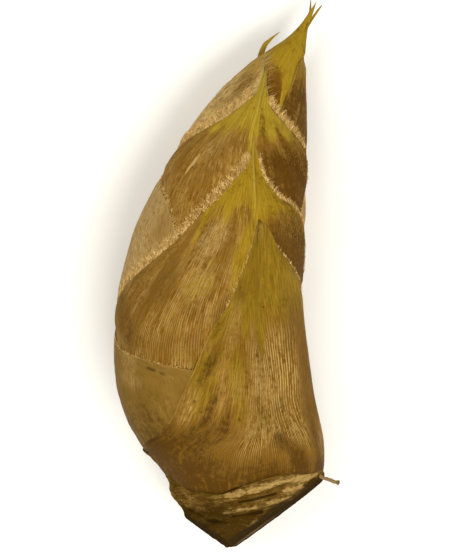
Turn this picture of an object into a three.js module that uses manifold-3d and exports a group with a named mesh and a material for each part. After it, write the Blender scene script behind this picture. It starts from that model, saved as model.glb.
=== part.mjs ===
// A freshly cut bamboo shoot lying on its side: a short stem, cut across its foot with two strokes
// of a knife, wrapped in overlapping sheaths. Each sheath grows from its own ring on the stem,
// wraps it, and ends in a narrow pointed blade; the blades take turns on two sides of the shoot.
// Units are millimetres. +Z is up, +Y runs from the cut foot to the tip.
import * as THREE from 'three';
import { mergeVertices } from 'three/addons/utils/BufferGeometryUtils.js';
import Module from 'manifold-3d';

const wasm = await Module();
wasm.setup();

// ---- Driving dimensions -------------------------------------------------------------------

// The shoot's form: at each place along it, the middle, half width and half height of its
// rounded cross-section, and how far the underside hangs above the lowest line.
const FORM = [
  // y, x, half width, half height, underside
  [-92, 8.5, 17, 16, 7],
  [-80, 6.9, 22.1, 20.5, 3.4],
  [-66, 4.4, 26.7, 25.5, 0.8],
  [-52, -0.6, 31.4, 28.6, 0],
  [-34, -5.4, 32.5, 29.4, 0],
  [-12, -6.8, 31.3, 28.4, 0],
  [12, -4.0, 29.0, 26.2, 0.2],
  [36, 2.0, 23.9, 21.8, 1.8],
  [58, 9.3, 16.7, 15.4, 5.2],
  [72, 16.2, 9.7, 9.3, 8.8],
  [80, 21.7, 5.0, 5.0, 11.8],
  [86, 25.7, 2.5, 2.5, 13.8],
  [94, 29.8, 1.5, 1.5, 15.4],
];

const FLAT = 0.8; // how much the shoot is pressed flat where it lies
const WALL = 0.7; // a sheath's thickness
const PITCH = 1.75; // from one sheath's outside to the next one's
const GAP = 0.6; // clearance where a sheath stands on the stem
const LIFT_FROM = 74; // where a blade that stands off the shoot begins to lift
const RIB = 0.15; // depth of the furrows between a sheath's ribs
const COVER_FLAT = 0.26; // beyond a sheath's edge the next one stays sunk over this distance,
const COVER_RISE = 0.4; // and then rises to the outside over this one; both in half widths

// ---- Small helpers ------------------------------------------------------------------------

const radians = THREE.MathUtils.degToRad;

// A smooth curve through control points that never overshoots them.
function curveThrough(xs, ys) {
  const count = xs.length;
  const slope = [];
  for (let i = 0; i < count - 1; i++) {
    slope.push((ys[i + 1] - ys[i]) / (xs[i + 1] - xs[i]));
  }
  const tangent = ys.map((_, i) => {
    if (i === 0) return slope[0];
    if (i === count - 1) return slope[count - 2];
    const product = slope[i - 1] * slope[i];
    return product <= 0 ? 0 : (2 * product) / (slope[i - 1] + slope[i]);
  });
  return (x) => {
    if (x <= xs[0]) return ys[0];
    if (x >= xs[count - 1]) return ys[count - 1];
    let i = 0;
    while (x > xs[i + 1]) i++;
    const step = xs[i + 1] - xs[i];
    const t = (x - xs[i]) / step;
    const s = 1 - t;
    return (
      s * s * (1 + 2 * t) * ys[i] +
      t * t * (3 - 2 * t) * ys[i + 1] +
      step * t * s * (s * tangent[i] - t * tangent[i + 1])
    );
  };
}

const column = (table, index) => table.map((row) => row[index]);
const [middleX, halfWidth, halfHeight, underside] = [1, 2, 3, 4].map((index) =>
  curveThrough(column(FORM, 0), column(FORM, index)),
);

// The point at place y and angle (0 is +X, 90 is up), sunk below the outside by depth and never
// lower than floor.
function onShoot(y, angle, depth, floor = Math.max(depth, 0)) {
  const turn = radians(angle);
  const width = Math.max(halfWidth(y) - depth, 0.3);
  const height = Math.max(halfHeight(y) - depth, 0.3);
  const z = underside(y) + halfHeight(y) + height * Math.sin(turn) - FLAT;
  return [middleX(y) + width * Math.cos(turn), y, Math.max(z, floor)];
}

// ---- Sheaths ------------------------------------------------------------------------------

// A sheath's edges are lists of [y, angle] from the tip of its blade down to its foot; `plus` is
// the edge toward larger angles and `minus` the one toward smaller. `rib` is the line of its
// midrib, `foot` the line where it stands on the stem, and `fan` how much its ribs bend in
// toward the tip (0 none, 1 as much as the edge does) on the two sides.
const SHEATHS = [
  {
    name: 'sheath_1',
    rib: [[17.7, 64], [-60, 64]],
    plus: [
      [17.7, 64], [12.4, 65.5], [3.4, 70], [-8.2, 78], [-17.9, 89.5], [-28.4, 99.2],
      [-42.1, 115.6], [-48.1, 128.9], [-54, 156],
    ],
    minus: [
      [17.7, 64], [15.6, 57.1], [8.3, 44.5], [1.1, 23.5], [-12, -20], [-24, -50], [-37, -80],
      [-48, -110], [-57, -161],
    ],
    foot: [
      [-161, -60], [16, -62.6], [64, -62.1], [88, -64.9], [109, -68.2], [130, -67.8],
      [146, -62.4], [156, -59.5],
    ],
    fan: [0.35, 0.2],
    columns: [9, 16],
  },
  {
    name: 'sheath_2',
    rib: [[22, 255], [-50, 255]],
    plus: [
      [22, 255], [16, 259], [8, 275], [-4, 300], [-12, 325], [-20, 350], [-26, 385], [-31, 433],
    ],
    minus: [
      [22, 255], [16, 251], [8, 235], [-4, 211], [-14, 185], [-22.4, 160.4], [-24.6, 143.5],
      [-28.7, 99], [-31, 77],
    ],
    foot: [[77, -57], [433, -57]],
    fan: [0.2, 0.2],
    columns: [14, 14],
  },
  {
    name: 'sheath_3',
    rib: [[46.4, 83], [36, 77], [12, 66], [-50, 66]],
    plus: [
      [46.4, 83], [39.1, 84.5], [32.5, 88.5], [25.8, 93.5], [18.9, 104], [12.1, 114.7],
      [4.7, 131.7], [-3.8, 158], [-18, 205], [-35, 242],
    ],
    minus: [
      [46.4, 83], [42.4, 79], [35, 68.1], [27.1, 51.3], [22.4, 29.9], [14, 0], [6, -25],
      [-6, -50], [-20, -75], [-34, -110],
    ],
    foot: [[-110, -48], [242, -48]],
    fan: [0.2, 0.2],
    columns: [14, 14],
  },
  {
    name: 'sheath_4',
    rib: [[58, 252], [-30, 252]],
    plus: [
      [58, 252], [50, 262], [44, 280], [38, 320], [30, 355], [24, 370], [14, 400], [6, 430],
    ],
    minus: [
      [58, 252], [50, 242], [44, 226], [38, 200], [30.3, 162], [24.1, 137], [16.8, 122.4],
      [12.4, 115], [4, 74],
    ],
    foot: [[74, -39], [430, -39]],
    fan: [0.2, 0.2],
    columns: [14, 14],
  },
  {
    name: 'sheath_5',
    rib: [[68.9, 103], [61, 90], [40, 78], [12, 66], [-30, 66]],
    plus: [
      [68.9, 103], [63, 97], [58, 98.5], [53, 112.2], [49.2, 125.4], [45, 150], [40, 190],
      [32, 218], [22, 242],
    ],
    minus: [
      [68.9, 103], [65, 92], [56.7, 76.4], [49.8, 58.6], [44, 28.4], [40, 0], [34, -38],
      [22, -110],
    ],
    foot: [[-110, -30], [242, -30]],
    fan: [0.2, 0.2],
    columns: [13, 13],
  },
  {
    name: 'sheath_6',
    rib: [[82.4, 165], [74, 178], [-20, 178]],
    plus: [
      [82.4, 165], [77.5, 172], [75, 200], [74.4, 290], [73.6, 375], [71.7, 403.7],
      [63.4, 414.7], [53.5, 421.7], [46, 428],
    ],
    minus: [
      [82.4, 165], [79, 155], [75.2, 143], [70.1, 112], [62, 88], [53.5, 76], [46, 72],
    ],
    foot: [[72, -20], [428, -20]],
    fan: [0.2, 0.2],
    columns: [18, 16],
    lift: 3.2, // the tip of its blade stands off the shoot
    slack: 0.1, // extra room under the sheath outside it
  },
  {
    name: 'sheath_7',
    rib: [[93.3, 90], [72, 88], [40, 78], [-8, 70]],
    plus: [
      [93.3, 90], [91, 130], [88, 160], [84, 185], [76, 205], [66, 215], [50, 230], [28, 246],
    ],
    minus: [
      [93.3, 90], [91, 50], [88, 20], [84, -5], [76, -20], [66, -40], [50, -70], [28, -106],
    ],
    foot: [[-106, -8], [246, -8]],
    fan: [0.2, 0.2],
    columns: [13, 13],
    slack: 0.3,
  },
];

for (const sheath of SHEATHS) {
  const byPlace = (line) => {
    const upward = [...line].reverse();
    return curveThrough(column(upward, 0), column(upward, 1));
  };
  sheath.ribAngle = byPlace(sheath.rib);
  sheath.tipY = sheath.rib[0][0];
  sheath.footY = curveThrough(column(sheath.foot, 0), column(sheath.foot, 1));
  sheath.edges = [sheath.plus, sheath.minus].map((line, side) => {
    const angleAt = byPlace(line);
    const last = line[line.length - 1];
    return {
      sign: side === 0 ? 1 : -1,
      fan: sheath.fan[side],
      columns: sheath.columns[side],
      endY: last[0],
      widest: Math.abs(last[1] - sheath.ribAngle(last[0])),
      // How far round from the midrib the sheath reaches at place y.
      reach: (y) => (y >= sheath.tipY ? 0 : Math.abs(angleAt(y) - sheath.ribAngle(y))),
    };
  });
}

// The place where an edge passes the given angle away from the midrib.
function edgeY(sheath, edge, away) {
  let low = edge.endY;
  let high = sheath.tipY;
  for (let i = 0; i < 40; i++) {
    const middle = (low + high) / 2;
    if (edge.reach(middle) > away) low = middle;
    else high = middle;
  }
  return low;
}

// How much the sheath covers what lies under it at a point: 1 under it, 0 well clear of it.
function cover(sheath, y, angle) {
  const ahead = THREE.MathUtils.euclideanModulo(angle - sheath.ribAngle(y), 360);
  const clear = [ahead, 360 - ahead].map((away, side) => {
    const edge = sheath.edges[side];
    const aside = radians(away - edge.reach(y)) * halfWidth(y);
    if (aside <= 0 && y < sheath.tipY) return 0;
    const above = y - edgeY(sheath, edge, away);
    return Math.min(Math.hypot(aside, Math.max(0, y - sheath.tipY)), above);
  });
  const beyond = Math.min(...clear) / halfWidth(y);
  return 1 - THREE.MathUtils.smoothstep(beyond, COVER_FLAT, COVER_FLAT + COVER_RISE);
}

// Depth of the outside of layer number `index`, under the sheaths around it.
function layerDepth(index, y, angle) {
  let depth = 0;
  for (const outer of SHEATHS.slice(0, index)) {
    depth += PITCH * cover(outer, y, angle);
  }
  return depth;
}

// A closed plate from two faces of points, each a grid of rows and columns of [x, y, z].
// Both faces are split along the same diagonals, the ones that turn least round the shoot.
function plate(outside, inside, angles) {
  const rows = outside.length;
  const columns = outside[0].length;
  const points = [...outside.flat(), ...inside.flat()];
  const front = (r, c) => r * columns + c;
  const back = (r, c) => rows * columns + front(r, c);
  const faces = [];
  for (let r = 0; r < rows - 1; r++) {
    for (let c = 0; c < columns - 1; c++) {
      const rising = Math.abs(angles[r][c] - angles[r + 1][c + 1]);
      const falling = Math.abs(angles[r][c + 1] - angles[r + 1][c]);
      const corners = [[r, c], [r, c + 1], [r + 1, c + 1], [r + 1, c]];
      const turn = rising <= falling ? 0 : 1;
      const at = (k) => corners[(k + turn) % 4];
      for (const [i, j, k] of [[0, 1, 2], [0, 2, 3]]) {
        faces.push([front(...at(i)), front(...at(j)), front(...at(k))]);
        faces.push([back(...at(k)), back(...at(j)), back(...at(i))]);
      }
    }
  }
  const rim = [];
  for (let c = 0; c < columns - 1; c++) rim.push([0, c]);
  for (let r = 0; r < rows - 1; r++) rim.push([r, columns - 1]);
  for (let c = columns - 1; c > 0; c--) rim.push([rows - 1, c]);
  for (let r = rows - 1; r > 0; r--) rim.push([r, 0]);
  rim.forEach((here, i) => {
    const next = rim[(i + 1) % rim.length];
    faces.push([front(...here), back(...here), back(...next)]);
    faces.push([front(...here), back(...next), front(...next)]);
  });
  return geometryFrom(points, faces);
}

function geometryFrom(points, faces) {
  const geometry = new THREE.BufferGeometry();
  geometry.setAttribute('position', new THREE.Float32BufferAttribute(points.flat(), 3));
  geometry.setIndex(faces.flat());
  return geometry;
}

const ROWS = 11;
const CROWDING = 0.5; // how much closer the columns stand toward the midrib and the edges
const crowded = (t) => THREE.MathUtils.lerp(t, t * t * (3 - 2 * t), CROWDING);

function sheathGeometry(sheath, index) {
  const [plus, minus] = sheath.edges;
  const steps = [];
  for (let k = plus.columns; k >= -minus.columns; k--) steps.push(k);
  const lattice = [];
  for (let r = 0; r <= ROWS; r++) {
    const row = steps.map((k) => {
      const edge = k >= 0 ? plus : minus;
      const share = crowded(Math.abs(k) / edge.columns);
      // A rib keeps its share of the sheath's width, and ends where the edge crosses it.
      const width = (y) => edge.widest * (edge.reach(y) / edge.widest) ** edge.fan;
      let low = edge.endY;
      let high = sheath.tipY;
      for (let i = 0; i < 40; i++) {
        const middle = (low + high) / 2;
        if (edge.reach(middle) > share * width(middle)) low = middle;
        else high = middle;
      }
      const foot = sheath.footY(sheath.ribAngle(edge.endY) + edge.sign * share * edge.widest);
      const y = low - (low - foot) * (1 - r / ROWS) ** 1.25;
      const angle = sheath.ribAngle(y) + edge.sign * share * width(Math.max(y, edge.endY));
      return { y, angle, furrow: (k & 1) * RIB };
    });
    lattice.push(row);
  }
  const face = (inset) =>
    lattice.map((row) =>
      row.map(({ y, angle, furrow }) => {
        const depth = layerDepth(index, y, angle) + (sheath.slack ?? 0) + inset;
        const raise = (sheath.lift ?? 0) * THREE.MathUtils.smoothstep(y, LIFT_FROM, sheath.tipY);
        return onShoot(y, angle, depth + furrow - raise, depth);
      }),
    );
  return plate(face(0), face(WALL), lattice.map((row) => row.map(({ angle }) => angle)));
}

// ---- Stem ---------------------------------------------------------------------------------

const STEM_START = -100; // where the uncut stem would begin
const STEM_END = 46; // its growing point, deep in the shoot
const STEM_TAPER = 11; // how much it narrows from the last sheath's foot to there
const STEM_SIDES = 30;
const STUMP_ROWS = 13;
const STEM_TIP_ROWS = 5;
const LAST_FOOT = SHEATHS[SHEATHS.length - 1].foot[0][1];

// Rings and wrinkles round the bare foot of the stem, by place along it; they run at a slant.
const RING_SLANT = 0.22;
const ringDepth = curveThrough(
  [-80, -77, -75, -73, -71, -68.5, -66, -63.5],
  [0, 0, 0.7, -0.3, 1, 0, -0.5, 0],
);

// A shallow dent in the stem's left side, where the outermost sheath has torn away.
const DENT = { angle: 170, spread: 45, deep: 1.4, from: -74, to: -64 };
const dentDepth = (y, angle) => {
  const aside = 1 - THREE.MathUtils.smoothstep(Math.abs(angle - DENT.angle), 0, DENT.spread);
  return DENT.deep * aside * THREE.MathUtils.smoothstep(y, DENT.from, DENT.to);
};

// The two strokes of the knife and the blunt edge between them: a point on each cut and the
// way it faces. They lean back a little, so the cut shows from above.
const CUTS = [
  { point: [-15.3, -82.8, 15], facing: [-0.559, -0.829, 0.27] },
  { point: [32.4, -69.8, 15], facing: [0.587, -0.809, 0.27] },
  { point: [0.8, -92.7, 10], facing: [0, -1, 0.27] },
];

const ROOTLET = [[26, -63.2, 36], [30.5, -65.6, 32], [33, -67, 28.6], [36, -68.1, 27.6]];
const ROOTLET_RADIUS = 0.65;

const stemFoot = (angle) => {
  const [first, last] = [SHEATHS[0].foot[0], SHEATHS[0].foot.at(-1)];
  const turned = THREE.MathUtils.euclideanModulo(angle - first[0], 360) + first[0];
  return turned > last[0] ? last[1] : SHEATHS[0].footY(turned);
};

function stemRows() {
  const rows = [];
  for (let r = 0; r <= STUMP_ROWS; r++) {
    const along = r / STUMP_ROWS;
    rows.push((angle) => {
      const y = STEM_START + (stemFoot(angle) - GAP - STEM_START) * along;
      const ring = ringDepth(y - RING_SLANT * onShoot(y, angle, 0)[0]);
      return [y, ring + dentDepth(y, angle)];
    });
  }
  // A ledge under each sheath's foot; inside the sheath the stem is narrower.
  SHEATHS.forEach((sheath, index) => {
    const ledge = (angle) => (index === 0 ? stemFoot(angle) : sheath.foot[0][1]) - GAP;
    if (index > 0) rows.push((angle) => [ledge(angle), layerDepth(index, ledge(angle), angle)]);
    rows.push((angle) => {
      const y = ledge(angle) + 0.02;
      return [y, layerDepth(index + 1, y, angle)];
    });
  });
  for (let r = 1; r <= STEM_TIP_ROWS; r++) {
    const along = r / STEM_TIP_ROWS;
    rows.push((angle) => {
      const y = LAST_FOOT + (STEM_END - LAST_FOOT) * along;
      return [y, layerDepth(SHEATHS.length, y, angle) + STEM_TAPER * along];
    });
  }
  return rows;
}

function solidFrom(geometry) {
  return new wasm.Manifold(
    new wasm.Mesh({
      numProp: 3,
      vertProperties: geometry.getAttribute('position').array,
      triVerts: new Uint32Array(geometry.getIndex().array),
    }),
  );
}

function geometryOf(solid) {
  const mesh = solid.getMesh();
  const geometry = new THREE.BufferGeometry();
  geometry.setAttribute('position', new THREE.BufferAttribute(mesh.vertProperties, 3));
  geometry.setIndex(new THREE.BufferAttribute(mesh.triVerts, 1));
  return geometry;
}

// A closed body lofted through rings of points, with both ends flat.
function loft(rings) {
  const sides = rings[0].length;
  const at = (r, k) => r * sides + (k % sides);
  const faces = [];
  for (let r = 0; r < rings.length - 1; r++) {
    for (let k = 0; k < sides; k++) {
      faces.push([at(r, k), at(r + 1, k), at(r + 1, k + 1)]);
      faces.push([at(r, k), at(r + 1, k + 1), at(r, k + 1)]);
    }
  }
  const last = rings.length - 1;
  for (let k = 1; k < sides - 1; k++) {
    faces.push([at(0, 0), at(0, k), at(0, k + 1)]);
    faces.push([at(last, 0), at(last, k + 1), at(last, k)]);
  }
  return geometryFrom(rings.flat(), faces);
}

function stemGeometry() {
  const rings = stemRows().map((row) => {
    const ring = [];
    for (let k = 0; k < STEM_SIDES; k++) {
      const angle = (k * 360) / STEM_SIDES;
      const [y, depth] = row(angle);
      ring.push(onShoot(y, angle, depth));
    }
    return ring;
  });
  let stem = solidFrom(loft(rings));
  for (const { point, facing } of CUTS) {
    const inward = new THREE.Vector3(...facing).normalize().negate();
    stem = stem.trimByPlane(inward.toArray(), inward.dot(new THREE.Vector3(...point)));
  }
  return geometryOf(stem.add(solidFrom(rootletGeometry())));
}

function rootletGeometry() {
  const curve = new THREE.CatmullRomCurve3(ROOTLET.map((point) => new THREE.Vector3(...point)));
  const outline = new THREE.Shape().absarc(0, 0, ROOTLET_RADIUS, 0, 2 * Math.PI);
  const tube = new THREE.ExtrudeGeometry(outline, {
    extrudePath: curve,
    steps: 6,
    curveSegments: 6,
  });
  tube.deleteAttribute('normal');
  tube.deleteAttribute('uv');
  return mergeVertices(tube, 0.001);
}

// ---- Young leaves -------------------------------------------------------------------------

// Two slender leaves, still folded inside the last sheath, whose points show at the tip.
const LEAF_THICK = 0.7;
const LEAVES = [
  {
    name: 'young_leaf_1',
    stations: [
      // x, y, z, width
      [3.6, 46.4, 21, 3], [14.5, 66, 19.5, 3], [17.3, 76, 16.2, 2.2], [20.3, 80, 15.4, 1.6],
      [23.7, 84, 15, 1.1], [26.4, 88, 15, 0.8], [27.3, 90.6, 15.3, 0.7], [27.5, 94.2, 15.6, 0.3],
    ],
  },
  {
    name: 'young_leaf_2',
    stations: [
      [7.4, 46.4, 21, 3], [18.5, 66, 19, 3], [20.6, 76, 16, 2.2], [23, 80, 15.2, 1.7],
      [25.6, 84, 14.9, 1.2], [28.2, 88, 14.8, 0.9], [29.9, 90.4, 15, 0.8], [31.4, 92.4, 15.3, 0.3],
    ],
  },
];

function leafGeometry(leaf) {
  const rings = leaf.stations.map(([x, y, z, width]) => {
    const [half, thick] = [width / 2, LEAF_THICK / 2];
    return [[x + half, y, z], [x, y, z + thick], [x - half, y, z], [x, y, z - thick]];
  });
  return loft(rings);
}

// ---- The shoot ----------------------------------------------------------------------------

const shoot = new THREE.Group();

function addPiece(name, geometry, color, roughness) {
  const material = new THREE.MeshStandardMaterial({ color, roughness, metalness: 0 });
  const mesh = new THREE.Mesh(geometry, material);
  mesh.name = name;
  shoot.add(mesh);
}

addPiece('stem', stemGeometry(), 0x9c8350, 0.7);
SHEATHS.forEach((sheath, index) => {
  addPiece(sheath.name, sheathGeometry(sheath, index), 0x8a6a30, 0.6);
});
LEAVES.forEach((leaf) => addPiece(leaf.name, leafGeometry(leaf), 0xa89a3a, 0.55));

// The part's origin: the middle of the bounding box, on the surface the shoot lies on.
const middle = new THREE.Box3().setFromObject(shoot).getCenter(new THREE.Vector3());
shoot.position.set(-middle.x, -middle.y, 0);

export default shoot;
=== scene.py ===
import math
from types import SimpleNamespace

import bmesh
import bpy
import numpy as np
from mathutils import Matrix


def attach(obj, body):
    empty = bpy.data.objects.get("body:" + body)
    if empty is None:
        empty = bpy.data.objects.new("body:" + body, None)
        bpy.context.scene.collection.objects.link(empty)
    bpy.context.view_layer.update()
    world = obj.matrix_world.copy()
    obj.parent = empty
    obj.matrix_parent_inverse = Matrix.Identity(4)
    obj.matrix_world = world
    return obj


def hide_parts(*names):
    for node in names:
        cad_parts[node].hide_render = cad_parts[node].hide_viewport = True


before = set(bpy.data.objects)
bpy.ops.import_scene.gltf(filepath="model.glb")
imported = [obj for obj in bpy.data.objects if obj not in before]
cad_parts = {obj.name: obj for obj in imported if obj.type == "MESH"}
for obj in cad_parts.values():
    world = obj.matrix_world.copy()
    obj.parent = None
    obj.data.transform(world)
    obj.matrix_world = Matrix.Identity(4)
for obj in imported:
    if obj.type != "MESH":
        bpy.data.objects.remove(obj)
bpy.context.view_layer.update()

# ---- Stem -----------------------------------------------------------------------------------
# The short solid stem that every sheath grows from. Only its foot shows: a ringed and wrinkled
# brown stump, cut to a blunt wedge by three strokes of a knife, with one dry rootlet left on it.
# The rest narrows inside the sheaths to the growing point.

MM = 0.001
ORIGIN = np.array([1.0015, -0.331, 0.0])  # from the shoot's own lines to the frame's origin
FLAT = 0.8  # how much the shoot is pressed flat where it lies
FORM = [
    # y, x of the middle, half width, half height, underside, all in millimetres
    [-92, 8.5, 17, 16, 7],
    [-80, 6.9, 22.1, 20.5, 3.4],
    [-66, 4.4, 26.7, 25.5, 0.8],
    [-52, -0.6, 31.4, 28.6, 0],
    [-34, -5.4, 32.5, 29.4, 0],
    [-12, -6.8, 31.3, 28.4, 0],
    [12, -4.0, 29.0, 26.2, 0.2],
    [36, 2.0, 23.9, 21.8, 1.8],
    [58, 9.3, 16.7, 15.4, 5.2],
    [72, 16.2, 9.7, 9.3, 8.8],
    [80, 21.7, 5.0, 5.0, 11.8],
    [86, 25.7, 2.5, 2.5, 13.8],
    [94, 29.8, 1.5, 1.5, 15.4],
]


def curve_through(xs, ys):
    """A smooth curve through control points that never overshoots them."""
    xs, ys = np.array(xs, float), np.array(ys, float)
    slope = np.diff(ys) / np.diff(xs)
    product = slope[:-1] * slope[1:]
    inner = np.where(product > 0, 2 * product / np.where(product > 0, slope[:-1] + slope[1:], 1), 0)
    tangent = np.concatenate([slope[:1], inner, slope[-1:]])

    def value(x):
        x = np.clip(x, xs[0], xs[-1])
        i = np.clip(np.searchsorted(xs, x, side="right") - 1, 0, len(xs) - 2)
        step = xs[i + 1] - xs[i]
        t = (x - xs[i]) / step
        s = 1 - t
        return (
            s * s * (1 + 2 * t) * ys[i]
            + t * t * (3 - 2 * t) * ys[i + 1]
            + step * t * s * (s * tangent[i] - t * tangent[i + 1])
        )

    return value


def rise(x, low, high):
    """0 up to low, 1 from high on, and smooth between."""
    t = np.clip((x - low) / (high - low), 0, 1)
    return t * t * (3 - 2 * t)


def fade(x, low, high):
    """1 up to low, 0 from high on, and smooth between."""
    return 1 - rise(x, low, high)


form = np.array(FORM, float)
middle_x, half_width, half_height, underside = (
    curve_through(form[:, 0], form[:, k]) for k in (1, 2, 3, 4)
)


CORE = 0.2  # the half width that is left however deep a point is sunk


def on_shoot(y, angle, depth, floor=None):
    """Points in millimetres at place y and angle (0 is +X, 90 is up), sunk below the outside."""
    floor = np.maximum(depth, 0) if floor is None else floor
    turn = np.radians(angle)
    width = np.maximum(half_width(y) - depth, CORE)
    height = np.maximum(half_height(y) - depth, CORE)
    x = middle_x(y) + width * np.cos(turn)
    z = underside(y) + half_height(y) + height * np.sin(turn) - FLAT
    return np.stack([x, y + 0 * x, np.maximum(z, floor)], axis=-1)


def waves(seed, count, low, high):
    """A gentle random surface, about -1 to 1, from plain waves low to high millimetres long."""
    random = np.random.default_rng(seed)
    turn = random.uniform(0, 2 * np.pi, count)
    pitch = 2 * np.pi / np.exp(random.uniform(np.log(low), np.log(high), count))
    phase = random.uniform(0, 2 * np.pi, count)

    def value(a, b):
        total = 0
        for k in range(count):
            along = a * np.cos(turn[k]) + b * np.sin(turn[k])
            total = total + np.sin(pitch[k] * along + phase[k])
        return total / math.sqrt(count)

    return value


def made_piece(bm, name):
    """The finished bmesh as an object at the origin."""
    mesh = bpy.data.meshes.new(name)
    bm.to_mesh(mesh)
    bm.free()
    piece = bpy.data.objects.new(name, mesh)
    bpy.context.scene.collection.objects.link(piece)
    return piece


def shaped_grid(name, columns, rows, place, weld=False, attributes=()):
    """A grid whose points are put in place by a function of their shares (0 to 1) across and up.

    place gives the points in millimetres and, after them, the values of each named attribute.
    """
    bm = bmesh.new()
    bmesh.ops.create_grid(bm, x_segments=columns, y_segments=rows, size=0.5)
    share = np.array([vertex.co[:2] for vertex in bm.verts]) + 0.5
    points, *values = place(share[:, 0], share[:, 1])
    points = (points + ORIGIN) * MM
    layers = [bm.verts.layers.float.new(title) for title in attributes]
    columns_of_values = [np.broadcast_to(value, len(points)) for value in values]
    for i, vertex in enumerate(bm.verts):
        vertex.co = points[i]
        for layer, column in zip(layers, columns_of_values):
            vertex[layer] = column[i]
    if weld:
        bmesh.ops.remove_doubles(bm, verts=bm.verts, dist=0.01 * MM)
        bmesh.ops.recalc_face_normals(bm, faces=bm.faces)
    for face in bm.faces:
        face.smooth = True
    return made_piece(bm, name)


class Wire:
    """A shader socket that sums and products can be written with."""

    def __init__(self, paint, socket):
        self.paint = paint
        self.socket = socket

    def math(self, operation, *others):
        return self.paint.make("ShaderNodeMath", {"operation": operation}, [self, *others])

    def __add__(self, other):
        return self.math("ADD", other)

    def __sub__(self, other):
        return self.math("SUBTRACT", other)

    def __rsub__(self, other):
        return (self * -1).math("ADD", other)

    def __mul__(self, other):
        return self.math("MULTIPLY", other)

    __radd__ = __add__
    __rmul__ = __mul__

    def between(self, low, high):
        """0 below low, 1 above high, and smooth between."""
        settings = {"interpolation_type": "SMOOTHSTEP"}
        return self.paint.make("ShaderNodeMapRange", settings, [self, low, high])


class Paint:
    """One procedural material, made node by node."""

    def __init__(self, name):
        self.material = bpy.data.materials.new(name)
        self.material.use_nodes = True
        self.tree = self.material.node_tree
        self.tree.nodes.clear()

    def make(self, kind, settings=None, sockets=(), output=0):
        """Any node: its settings are set first, then its sockets get their values or links."""
        node = self.tree.nodes.new(kind)
        for key, value in (settings or {}).items():
            setattr(node, key, value)
        pairs = sockets.items() if isinstance(sockets, dict) else enumerate(sockets)
        for key, value in pairs:
            socket = node.inputs[key]
            if isinstance(value, Wire):
                self.tree.links.new(value.socket, socket)
            else:
                socket.default_value = (*value, 1) if socket.type == "RGBA" else value
        return Wire(self, node.outputs[output]) if node.outputs else None

    def attribute(self, name):
        return self.make("ShaderNodeAttribute", {"attribute_name": name}, output="Fac")

    def place(self):
        return self.make("ShaderNodeTexCoord", output="Object")

    def noise(self, scale, detail, rough, at=None):
        sockets = {"Scale": scale, "Detail": detail, "Roughness": rough}
        sockets["Vector"] = at or self.place()
        return self.make("ShaderNodeTexNoise", sockets=sockets, output="Fac")

    def fibres(self, across, along, start, detail, rough):
        at = self.make("ShaderNodeCombineXYZ", sockets=[across, along, start])
        return self.noise(1.0, detail, rough, at)

    def mix(self, factor, first, second):
        settings = {"data_type": "RGBA", "clamp_factor": True}
        return self.make("ShaderNodeMix", settings, {0: factor, 6: first, 7: second}, output=2)

    def layered(self, colour, *layers):
        """Lays further colours over the first one, each by its own mask."""
        for mask, over in layers:
            colour = self.mix(mask, colour, over)
        return colour

    def finish(self, piece, colour, roughness, height, depth, shine=0.04):
        """Joins colour, roughness and a bump height in millimetres to the shader."""
        bumps = {"Strength": 1.0, "Distance": depth * MM, "Height": height}
        sockets = {"Base Color": colour, "Roughness": roughness, "Specular IOR Level": shine}
        sockets["Normal"] = self.make("ShaderNodeBump", sockets=bumps)
        shader = self.make("ShaderNodeBsdfPrincipled", sockets=sockets)
        self.make("ShaderNodeOutputMaterial", sockets=[shader])
        piece.data.materials.append(self.material)


# The outermost sheath's foot, which is also where the bare stump ends: angle and place.
STUMP_LINE = [
    [-161, -60], [16, -62.6], [64, -62.1], [88, -64.9], [109, -68.2], [130, -67.8],
    [146, -62.4], [156, -59.5],
]
stump_line = curve_through(*np.array(STUMP_LINE, float).T)
SECOND_FOOT = -57  # the second sheath's foot, where the outermost one leaves it bare

CUTS = [
    # a point on each cut, and the way it faces
    ([-15.3, -80.5, 22], [-0.559, -0.829, 0.24]),
    ([32.4, -67.5, 22], [0.587, -0.809, 0.24]),
    ([0.8, -90.2, 22], [0.1, -1, 0.24]),
]
CUT_MIDDLE = [7.0, 22.0]  # x and z of the cut's middle
RING_SLANT = 0.22  # how much the rings lean across the stump,
LOW_SLANT = 0.012  # and how much more for each millimetre nearer to the cut than
LOW_RINGS = -66  # this place, where the lower rings begin
ring_depth = curve_through(
    [-84, -80, -77, -75.4, -73.6, -71.2, -68.5, -66, -63.5],
    [0, 0, 0.2, 0.8, 0.1, 0.7, 0.1, -0.7, 0],
)
stump_wrinkles = waves(11, 7, 5, 12)
stump_fibres = waves(12, 9, 1.2, 3)
DENT = {"angle": 170, "spread": 45, "deep": 1.4, "from": -74, "to": -64}
WORN = 0.35  # how far the rim of the cut is worn down
TUCK = 0.5  # how far the bare stump goes on under the sheaths
STUMP_RADIUS = 25  # the radius that the arcs round the stump are measured at
GROWING_POINT = 46  # where the stem ends inside the sheaths,
INNER_GAP = 1.9  # how far it stands in from the outside at its foot,
INNER_TAPER = 12  # and how much more at the growing point
CUT_SHARE = 0.3  # shares of the stem's rows: the cut, then the bare stump, then the inside
STUMP_SHARE = 0.86

SCARS = [
    # pale torn ridges, as lines on the upper face with their half width
    ([[-1, -68.2], [8, -65.6], [17.7, -63.2], [27.5, -63.2]], 1.5),
    ([[-12, -66.8], [-4, -67]], 0.5),
    ([[-1.6, -74], [8, -72]], 0.9),
    ([[12, -70.5], [19, -69.5]], 1.2),
    ([[17, -67], [23, -66]], 0.9),
    ([[5.9, -78.5], [8.5, -76.3]], 0.6),
]
CREASES = [
    # and creases, in the same way, sunk into the surface and painted dark as shade
    ([[2.7, -70.4], [14.5, -67.8]], 0.5),
    ([[0.6, -75.4], [10, -73.8]], 0.5),
    ([[-7.7, -77.8], [-1.6, -77.8]], 0.6),
    ([[-14, -75], [-9, -76.5]], 0.4),
]


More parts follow.
